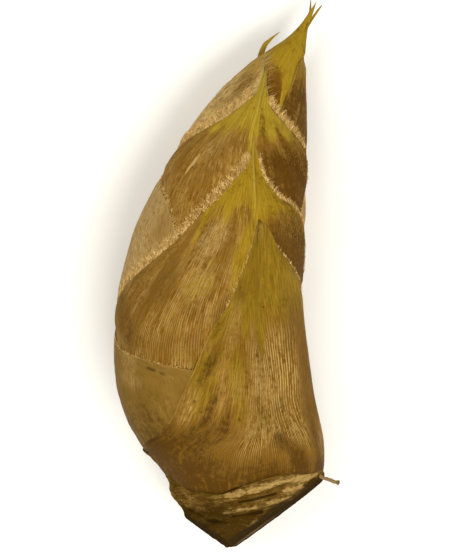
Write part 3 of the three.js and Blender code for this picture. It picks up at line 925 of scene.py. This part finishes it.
second = Sheath(
    rib=[[22, 255], [-50, 255]],
    plus=[[16, 259], [8, 275], [-4, 300], [-12, 325], [-20, 350], [-26, 385], [-31, 433]],
    minus=[
        [16, 251], [8, 235], [-4, 211], [-14, 185], [-22.4, 160.4], [-24.6, 143.5],
        [-28.7, 99], [-31, 77],
    ],
    foot=[[77, SECOND_FOOT], [433, SECOND_FOOT]], fan=(0.45, 0.45), pitch=0.9, ragged=0.1,
)
second_folds = waves(41, 7, 10, 30)
second_patches = waves(42, 9, 5, 16)


def second_relief(at):
    folds = 0.15 * second_folds(at.vein, at.along * 0.6)
    dents = 0.05 * second_patches(at.vein, at.along)
    lip = 0.1 * fade(at.edge, 0, 1.2)
    return 0.03 * at.crest + (folds + dents) * rise(at.edge, 0, 5) + lip - 0.1


def second_marks(at, point):
    wander = second_patches(at.vein * 0.7, at.along)
    low = fade(at.height + 3 * wander, 6, 36)
    dots = spots(point, (1, -24.2, -28.6, 2.6, 0.7, -8), (1, -20.6, -29.8, 1.3, 0.7, -8))
    paler_patches = spots(point, (0.4, -32, -25, 16, 5, 98))
    return {
        "yellow": fade(at.along, 8, 30) * rise(at.edge, 0, 3),
        "brown": np.clip(0.35 + 0.5 * wander + 0.6 * low, 0, 1),
        "dark": np.clip(0.55 * low + 0.25 * rise(wander, 0.3, 1.3) + dots, 0, 1),
        "pale": np.clip(0.35 * rise(-wander, 0.3, 1.3) * (1 - low) + paler_patches, 0, 1),
    }


sheath_2 = sheath_mesh("second_sheath", second, second_relief, second_marks, columns=460, rows=36)
sheath_paint(
    sheath_2, second, "parchment sheath", bump=0.15, streak=0.45,
    tones=[
        (0.25, 0.142, 0.026), (0.19, 0.104, 0.015), (0.085, 0.045, 0.006),
        (0.34, 0.22, 0.02), (0.24, 0.15, 0.01), (0.42, 0.27, 0.09),
    ],
)
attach(sheath_2, "root")
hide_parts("sheath_2")
fringe(
    "second_fringe", second, count=512, length=0.6, seed=411, low=(-31, -31),
    band=(0.2, 0.2), beyond=(0.2, 0.2),
)

# ---- Third sheath ---------------------------------------------------------------------------
# The middle sheath of the front. Its blade is a yellow-green fan with a bright midrib, and below
# it the skin turns to streaked browns, with a fringed margin on the left and a hairy right flank.

third = Sheath(
    rib=[[46.4, 83], [36, 77], [12, 66], [-50, 66]],
    plus=[
        [42, 81], [37.6, 79.8], [34.1, 81.7], [31.7, 85], [29.1, 88.8], [25.8, 93.5],
        [18.9, 104], [12.1, 114.7], [4.7, 131.7], [-3.8, 158], [-18, 205], [-35, 242],
    ],
    minus=[
        [42.4, 79], [37.7, 73.1], [34.2, 69.2], [31.8, 65.8], [29.3, 61.3], [26.9, 55.8],
        [24.7, 48.5], [22.4, 34], [14, 0], [6, -25], [-6, -50], [-20, -75], [-34, -110],
    ],
    foot=[[-110, -48], [242, -48]], fan=(0.55, 0.5), pitch=0.85,
)
third_folds = waves(51, 7, 12, 34)
third_patches = waves(52, 8, 7, 24)


def third_relief(at):
    ridge = at.crest * (0.03 + 0.07 * rise(at.along, 20, 45))
    midrib = keel(at, high=0.9, wide=1.1, start=26, stop=40)
    return ridge + midrib + rippled(at, third_folds, deep=0.2, clear=6, lift=0.16, pace=0.8)


def third_marks(at, point):
    vein, along = at.vein, at.along
    wander = third_patches(vein * 0.9, along * 0.4)
    left = fade(along + 5 * wander, 18, 36)
    strip = spots(point, (0.7, 4.5, 6, 22, 5, 78), (0.32, -9, -2, 13, 7, 62))
    right = fade(along + 1.5 * wander + 5 * rise(-vein, 6, 18), 26, 36)
    flank = rise(-vein, 4, 14) * rise(along, 26, 36)
    shaded = rise(-vein, 2, 7) * rise(along, 12, 18) * (1 - flank)
    stain = spots(
        point, (1, -21, -3, 17, 5.5, 58), (0.8, -2, -11, 11, 4, 60),
        (0.6, -30, -18, 12, 5, 80), (0.7, -15, -21, 15, 6, 5),
    )
    # painted shade on the far left, where the sheath turns away at the outline
    left_side_shade = spots(point, (0.45, -34, -12, 16, 5, 97))
    paler_patches = spots(
        point, (0.75, -16, 17, 24, 3.2, 40), (0.42, -5, 12, 12, 6, 50), (0.3, -9, -2, 13, 7, 62),
    )
    return {
        "yellow": np.where(vein > 0, np.maximum(left, strip), right),
        "ribbed": 0.3 * rise(along, 28, 45),
        "brown": np.clip(0.25 + 0.4 * wander + 0.8 * stain, 0, 1),
        "dark": np.clip(0.85 * flank + 0.26 * shaded + 0.4 * stain + left_side_shade, 0, 1),
        "pale": np.clip(paler_patches + 0.1 * flank, 0, 1),
    }


sheath_3 = sheath_mesh("third_sheath", third, third_relief, third_marks, columns=520, rows=40)
sheath_paint(
    sheath_3, third, "streaked sheath", bump=0.3, midrib=32.0,
    tones=[
        (0.33, 0.18, 0.029), (0.18, 0.083, 0.006), (0.075, 0.032, 0.002),
        (0.38, 0.24, 0.015), (0.27, 0.165, 0.008), (0.5, 0.34, 0.12),
    ],
)
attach(sheath_3, "root")
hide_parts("sheath_3")
fringe(
    "third_fringe", third, count=4096, length=1.6, seed=511, low=(-16, -6),
    beyond=(2.4, 0.7), out=0.5,
)
flank_tones = ((0.11, 0.055, 0.006), (0.36, 0.21, 0.045))
fringe(
    "third_flank_hairs", third, count=1024, length=1.8, seed=512, low=(50, 0), bare=22,
    band=(0.0, 11.0), out=0.3, tones=flank_tones,
)

# ---- Fourth sheath --------------------------------------------------------------------------
# Another sheath of the far side, pale tan and papery. It shows at the middle left, where its
# smooth edge runs under the third sheath's fringe.

fourth = Sheath(
    rib=[[58, 252], [-30, 252]],
    plus=[[50, 262], [44, 280], [38, 320], [30, 355], [24, 370], [14, 400], [6, 430]],
    minus=[
        [50, 242], [44, 226], [38, 200], [30.3, 162], [24.1, 137], [16.8, 122.4],
        [12.4, 115], [4, 74],
    ],
    foot=[[74, -39], [430, -39]], fan=(0.45, 0.45),
)
fourth_folds = waves(61, 7, 10, 30)


def fourth_relief(at):
    folds = 0.14 * fourth_folds(at.vein, at.along * 0.5)
    return 0.04 * at.crest + folds * rise(at.edge, 0, 5) - 0.1


def fourth_marks(at, point):
    speckled = spots(point, (1, -20, 16, 13, 6, 55))
    return {
        "yellow": fade(at.along, 6, 24) * rise(at.edge, 0, 3),
        "brown": 0.1 + 0.3 * speckled,
        "dark": 0.3 * speckled,
        "pale": 0.4 * (1 - 0.5 * speckled),
    }


sheath_4 = sheath_mesh("fourth_sheath", fourth, fourth_relief, fourth_marks, columns=460, rows=36)
sheath_paint(
    sheath_4, fourth, "papery sheath", bump=0.2, streak=0.6,
    tones=[
        (0.38, 0.23, 0.07), (0.27, 0.15, 0.03), (0.13, 0.065, 0.012),
        (0.38, 0.25, 0.025), (0.27, 0.17, 0.015), (0.5, 0.36, 0.16),
    ],
)
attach(sheath_4, "root")
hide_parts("sheath_4")
fringe("fourth_fringe", fourth, count=1024, length=0.9, seed=611, low=(6, 4), beyond=(0.5, 0.8))

# ---- Fifth sheath ---------------------------------------------------------------------------
# A front sheath with a tall narrow blade, bright yellow with a raised midrib. Its shoulders are
# covered in silky brown fibres that run slantwise up to the blade.

fifth = Sheath(
    rib=[[68.9, 103], [61, 90], [44.2, 82.5], [35, 76], [12, 66], [-30, 66]],
    plus=[
        [65, 99], [61.7, 95.6], [59.6, 94.7], [57.4, 99.4], [55.5, 104], [52, 113],
        [49.2, 125.4], [45, 150], [40, 190], [32, 218], [22, 242],
    ],
    minus=[
        [65.6, 93.3], [61.7, 85.7], [59.5, 80.8], [57.4, 77.2], [54.7, 72.6], [51.8, 62.5],
        [48.3, 48.5], [44, 28.4], [40, 0], [34, -38], [22, -110],
    ],
    foot=[[-110, -30], [242, -30]], fan=(0.55, 0.5), pitch=0.9,
)
fifth_folds = waves(71, 7, 10, 30)
fifth_patches = waves(72, 8, 6, 20)


def fifth_relief(at):
    ridge = at.crest * (0.04 + 0.07 * rise(at.along, 16, 30))
    midrib = keel(at, high=0.9, wide=1.0, start=22, stop=34)
    return ridge + midrib + rippled(at, fifth_folds, deep=0.18, clear=5, lift=0.14, pace=1.0)


def fifth_marks(at, point):
    vein, along = at.vein, at.along
    wander = fifth_patches(vein * 0.9, along * 0.5)
    lower = 4 * rise(-vein, -1, 4) + 3 * np.exp(-((vein / 3) ** 2))
    blade = fade(along + 1.2 * wander - lower, 17, 26)
    strip = np.exp(-((at.mid / 1.5) ** 2)) * fade(along, 30, 38)
    right = rise(-vein, 1, 8) * rise(along, 25, 34)
    shaded = rise(-vein, 3.5, 8) * rise(along, 14, 19) * (1 - right)
    # the first of these is a painted highlight, a thin streak of light on the left shoulder
    paler_patches = spots(point, (2.4, -11.8, 35.8, 5, 0.5, 52), (0.3, -5, 41, 10, 5, 45))
    return {
        "yellow": np.maximum(blade, strip),
        "brown": np.clip(0.25 + 0.35 * wander, 0, 1),
        "dark": np.clip(0.95 * right + 0.3 * rise(wander, 0.4, 1.4) + 0.3 * shaded, 0, 1),
        "pale": np.clip(paler_patches, 0, 1.5),
    }


sheath_5 = sheath_mesh("fifth_sheath", fifth, fifth_relief, fifth_marks, columns=420, rows=36)
sheath_paint(
    sheath_5, fifth, "silky sheath", bump=0.3, streak=1.15, midrib=26.0,
    tones=[
        (0.34, 0.19, 0.035), (0.22, 0.105, 0.01), (0.08, 0.031, 0.001),
        (0.44, 0.305, 0.027), (0.32, 0.21, 0.014), (0.5, 0.33, 0.11),
    ],
)
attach(sheath_5, "root")
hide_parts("sheath_5")
fringe(
    "fifth_fringe", fifth, count=4096, length=1.7, seed=711, low=(28, 34), bare=11.0,
    beyond=(3.4, 1.5), out=0.5,
)
fringe(
    "fifth_flank_hairs", fifth, count=1024, length=1.8, seed=712, low=(70, 34), bare=22,
    band=(0.0, 10.0), out=0.3, tones=flank_tones,
)

# ---- Sixth sheath ---------------------------------------------------------------------------
# A sheath whose mouth opens round the tip of the shoot. Its own blade is the small dry hook that
# stands off at the left, and its other edge is torn and fringed along the right.

sixth = Sheath(
    rib=[[76.6, 166], [74, 174], [-20, 178]],
    plus=[
        [76, 180], [75, 205], [74.4, 290], [73.6, 375], [71.7, 396], [69, 401.5],
        [63.4, 408], [57.7, 413.8], [53.5, 418.6], [46, 427.5],
    ],
    minus=[[76.2, 155], [75.2, 143], [70.1, 112], [62, 88], [53.5, 76], [46, 72]],
    foot=[[72, -20], [428, -20]], fan=(0.3, 0.3), slack=0.05,
)
sixth_folds = waves(81, 7, 6, 18)


def sixth_relief(at):
    folds = 0.12 * sixth_folds(at.vein, at.along * 0.6)
    return 0.07 * at.crest + folds * rise(at.edge, 0, 4) - 0.1


def sixth_marks(at, point):
    x, y = point[:, 0], point[:, 1]
    wander = sixth_folds(at.vein, at.along)
    crown = rise(y, 58, 68)
    right = rise(x - 0.12 * y, 7, 12) * (1 - 0.75 * crown)
    mouth = spots(point, (1, 9.4, 72, 11, 6.5, 65))
    stain = spots(point, (1, 5, 63.5, 9, 3.4, 48), (0.5, -2, 56, 7, 3, 40))
    wedge = spots(point, (1, 19.2, 64, 10.5, 1.9, 77))
    yellow = [0.6 * mouth * (1 - right), 0.45 * crown * rise(x, 17, 21), 1.4 * wedge]
    dark = 0.85 * right + 0.15 * wander * (1 - mouth) + 0.25 * stain
    pale = 0.6 * (1 - right) * (1 - 0.6 * mouth) * (1 - 0.85 * stain) * fade(x, 14, 18)
    return {
        "yellow": np.max(yellow, axis=0),
        "brown": np.clip((0.2 + 0.5 * wander + 0.8 * stain) * (1 - mouth) + 0.8 * right, 0, 1),
        "dark": np.clip(dark * (1 - wedge), 0, 1),
        "pale": np.clip(pale, 0, 1),
    }


sheath_6 = sheath_mesh("sixth_sheath", sixth, sixth_relief, sixth_marks, columns=420, rows=36)
sheath_paint(
    sheath_6, sixth, "hairy sheath", bump=0.3,
    tones=[
        (0.48, 0.305, 0.085), (0.21, 0.105, 0.012), (0.085, 0.036, 0.002),
        (0.43, 0.27, 0.03), (0.34, 0.2, 0.018), (0.61, 0.43, 0.16),
    ],
)
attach(sheath_6, "root")
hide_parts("sheath_6")
fringe(
    "sixth_fringe", sixth, count=1024, length=1.6, seed=811, low=(38, 90), bare=25,
    band=(3.0, 0.3), beyond=(0.3, 0), out=0.1, tones=flank_tones,
)
fringe(
    "sixth_wool", sixth, count=1024, length=2.2, seed=812, low=(90, 46), bare=3,
    band=(0.0, 13.0), out=0.2, tones=((0.2, 0.11, 0.025), (0.66, 0.45, 0.17)),
)

# The sixth sheath's own blade: a small, dry hook of leaf, curled along its length, that grows
# from the sheath's mouth and stands off it at the left.

HOOK = [
    # x, y, z, width
    [9.6, 71.5, 17.2, 1.4], [10.4, 74.6, 17.6, 1.9], [11.2, 76.8, 17.8, 1.8],
    [12.0, 78.3, 17.9, 1.6], [13.2, 79.5, 17.9, 1.2], [14.6, 80.8, 17.8, 0.75],
    [15.8, 81.8, 17.6, 0.45], [16.8, 82.6, 17.4, 0.12],
]


def blade_place(stations, thick, curl):
    """A thin leaf blade along its stations, rolled a little about its midrib."""
    table = np.array(stations, float)
    lines = [curve_through(range(len(table)), table[:, k]) for k in range(4)]

    def place(across, up):
        at = up * (len(table) - 1)
        x, y, z, width = (line(at) for line in lines)
        dx, dy = (line(at + 0.05) - line(at - 0.05) for line in lines[:2])
        size = np.hypot(dx, dy)
        turn = across * 2 * np.pi
        ends = np.minimum(rise(up, 0, 0.01), rise(1 - up, 0, 0.02))
        aside = 0.5 * width * np.cos(turn) * ends
        lift = np.minimum(thick, 0.4 * width) * np.sin(turn) * 0.5 * ends
        lift = lift + curl * width * (2 * aside / np.maximum(width, 0.01)) ** 2
        point = np.stack([x + aside * dy / size, y - aside * dx / size, z - FLAT + lift], -1)
        return point, np.cos(turn) * width, (1 - up) * len(table)

    return place


def blade_paint(piece, name, low, high, tip):
    paint = Paint(name)
    vein, along = paint.attribute("vein"), paint.attribute("along")
    streaks = paint.fibres(vein * 3.0, along * 0.6, 0.0, 4.0, 0.65)
    fleck = paint.noise(900.0, 3.0, 0.6)
    colour = paint.mix((streaks * 0.7 + fleck * 0.3).between(0.4, 0.6), low, high)
    colour = paint.mix((along + (fleck - 0.5)).between(1.4, 0.2), colour, tip)
    paint.finish(piece, colour, 0.45 + 0.2 * streaks, streaks, 0.1)


hook = shaped_grid(
    "sixth_sheath_blade", columns=20, rows=70, place=blade_place(HOOK, thick=0.5, curl=0.18),
    weld=True, attributes=("vein", "along"),
)
blade_paint(hook, "hooked blade", (0.22, 0.135, 0.012), (0.36, 0.235, 0.02), (0.2, 0.1, 0.015))
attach(hook, "root")

# ---- Seventh sheath -------------------------------------------------------------------------
# The innermost sheath that shows, rolled tight into the spire of the shoot: olive yellow, with a
# yellow wedge down its front between two brown hairy flanks.

seventh = Sheath(
    rib=[[93.3, 90], [72, 88], [40, 78], [-8, 70]],
    plus=[[91, 130], [88, 160], [84, 185], [76, 205], [66, 215], [50, 230], [28, 246]],
    minus=[[91, 50], [88, 20], [84, -5], [76, -20], [66, -40], [50, -70], [28, -106]],
    foot=[[-106, -8], [246, -8]], fan=(0.3, 0.3), ragged=0.1, slack=0.15,
)
seventh_folds = waves(91, 7, 5, 16)


def waist(at):
    """The spire narrows at the left just under its tip."""
    left = rise(-np.cos(np.radians(at.angle)), -0.1, 0.8)
    return 1.5 * np.exp(-(((at.y - 81) / 3.6) ** 2)) * left


def seventh_relief(at):
    folds = 0.15 * seventh_folds(at.vein * 0.5, at.along * 0.6)
    return rise(at.along, 6, 20) * (0.06 * at.crest + folds) - 0.1 - waist(at)


def seventh_marks(at, point):
    x, y = point[:, 0], point[:, 1]
    wander = seventh_folds(at.vein, at.along)
    wide = np.interp(y, [51, 54, 60, 66, 69, 72, 76], [0.2, 0.4, 0.9, 1.5, 2, 3, 5])
    flanks = rise(abs(x - (16.1 + 0.25 * (y - 54.1))), 0.6 * wide, 1.2 * wide)
    hairy = spots(point, (1, 13.9, 60.5, 13.5, 5.4, 82)) * flanks
    low = rise(at.along + 2 * wander, 30, 38) * flanks
    # a dark line painted as the shade of a crease near the tip
    crease = spots(point, (0.6, 25.8, 84, 4, 0.5, 76))
    left = spots(point, (0.6, 10.5, 72, 8, 5.5, 60))
    return {
        "yellow": 1 - np.clip(np.maximum(1.1 * hairy, low) + left, 0, 1.3),
        "brown": np.clip(0.8 * hairy + low, 0, 1),
        "dark": np.clip(0.35 * hairy + 0.4 * low + crease, 0, 1),
        "pale": 0.75 * left,
    }


sheath_7 = sheath_mesh(
    "seventh_sheath", seventh, seventh_relief, seventh_marks, columns=300, rows=40,
)
sheath_paint(
    sheath_7, seventh, "spire sheath", bump=0.25, streak=0.8,
    tones=[
        (0.3, 0.16, 0.018), (0.19, 0.083, 0.005), (0.085, 0.034, 0.002),
        (0.39, 0.25, 0.014), (0.3, 0.185, 0.009), (0.48, 0.32, 0.1),
    ],
)
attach(sheath_7, "root")
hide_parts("sheath_7")

# ---- Rolled heart ---------------------------------------------------------------------------
# The next young sheath, still rolled shut inside the spire. It closes the spire's mouth from
# below, where it shows as a smooth olive-yellow cone.

heart = Sheath(
    rib=[[88.5, 268], [40, 268], [10, 268]],
    plus=[[87, 330], [84, 400], [78, 446], [10, 447]],
    minus=[[87, 206], [84, 136], [78, 92], [10, 91]],
    foot=[[91, 4], [447, 4]], fan=(0.3, 0.3), ragged=0.05, slack=0.45,
)


def heart_relief(at):
    return 0.05 * at.crest - 0.1 - waist(at)


def heart_marks(at, point):
    return {"yellow": fade(at.along, 18, 34), "brown": 0.3}


rolled_heart = sheath_mesh("rolled_heart", heart, heart_relief, heart_marks, columns=160, rows=30)
sheath_paint(
    rolled_heart, heart, "heart leaf", bump=0.2, streak=0.4,
    tones=[
        (0.32, 0.2, 0.03), (0.2, 0.11, 0.012), (0.1, 0.05, 0.005),
        (0.4, 0.27, 0.025), (0.28, 0.18, 0.013), (0.48, 0.34, 0.12),
    ],
)
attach(rolled_heart, "root")

# ---- Young leaves ---------------------------------------------------------------------------
# The tips of the next two leaves, thin and still rolled like blades of grass. They grow inside
# the rolled heart and stand out of the spire as two fine points.

YOUNG_LEAVES = [
    [
        # x, y, z, width
        [3.6, 46.4, 21, 3], [14.5, 66, 19.5, 3], [17.3, 76, 16.2, 2.2],
        [20.3, 80, 15.4, 1.6], [23.7, 84, 15, 1.1], [26.4, 88, 15, 0.8],
        [27.3, 90.6, 15.3, 0.7], [27.5, 94.2, 15.6, 0.25],
    ],
    [
        [7.4, 46.4, 21, 3], [18.5, 66, 19, 3], [20.6, 76, 16, 2.2],
        [23, 80, 15.2, 1.7], [25.6, 84, 14.9, 1.2], [28.2, 88, 14.8, 0.9],
        [29.9, 90.4, 15, 0.8], [31.4, 92.4, 15.3, 0.25],
    ],
]

for number, stations in enumerate(YOUNG_LEAVES, 1):
    leaf = shaped_grid(
        f"young_leaf_tip_{number}", columns=20, rows=90,
        place=blade_place(stations, thick=0.6, curl=0.1), weld=True, attributes=("vein", "along"),
    )
    tones = ((0.24, 0.15, 0.012), (0.38, 0.26, 0.022), (0.22, 0.12, 0.02))
    blade_paint(leaf, f"young leaf {number}", *tones)
    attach(leaf, "root")
    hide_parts(f"young_leaf_{number}")

# ---- Table, light and camera ----------------------------------------------------------------
# A plain pale table top, a broad soft key lamp at the foot's right and a weaker one at the tip's
# left, and a camera looking straight down.

TABLE_HALF = 2.0  # metres
table_mesh = bmesh.new()
bmesh.ops.create_grid(table_mesh, x_segments=1, y_segments=1, size=TABLE_HALF)
floor = made_piece(table_mesh, "table_top")
paint = Paint("pale table")
faint = paint.noise(40.0, 4.0, 0.6)
colour = paint.mix(faint, (0.93, 0.93, 0.92), (0.95, 0.95, 0.94))
paint.finish(floor, colour, 0.8 + 0.1 * faint, faint, 0.02)

world = bpy.data.worlds.new("studio")
world.use_nodes = True
world.node_tree.nodes["Background"].inputs["Color"].default_value = (1.0, 0.985, 0.95, 1)
world.node_tree.nodes["Background"].inputs["Strength"].default_value = 0.5
bpy.context.scene.world = world


def lamp(name, location, size, power):
    light = bpy.data.lights.new(name, "AREA")
    light.shape = "DISK"
    light.size = size
    light.energy = power
    light.color = (1.0, 0.965, 0.88)
    holder = bpy.data.objects.new(name, light)
    holder.location = location
    aim = -np.array(location)
    holder.rotation_euler = (
        math.atan2(math.hypot(aim[0], aim[1]), -aim[2]), 0, math.atan2(aim[0], -aim[1]),
    )
    bpy.context.scene.collection.objects.link(holder)


lamp("key", (0.3, -0.4, 0.85), size=0.7, power=12.0)
lamp("fill", (-0.45, 0.3, 0.9), size=0.9, power=7.5)

CAMERA_HEIGHT = 0.3992  # metres
camera_data = bpy.data.cameras.new("camera")
camera_data.sensor_fit = "VERTICAL"
camera_data.sensor_height = 36
camera_data.lens = 73.7
camera_data.clip_start = 0.01
camera = bpy.data.objects.new("camera", camera_data)
camera.location = (*ORIGIN[:2] * MM, CAMERA_HEIGHT)
bpy.context.scene.collection.objects.link(camera)
bpy.context.scene.camera = camera
bpy.context.scene.view_settings.view_transform = "Standard"
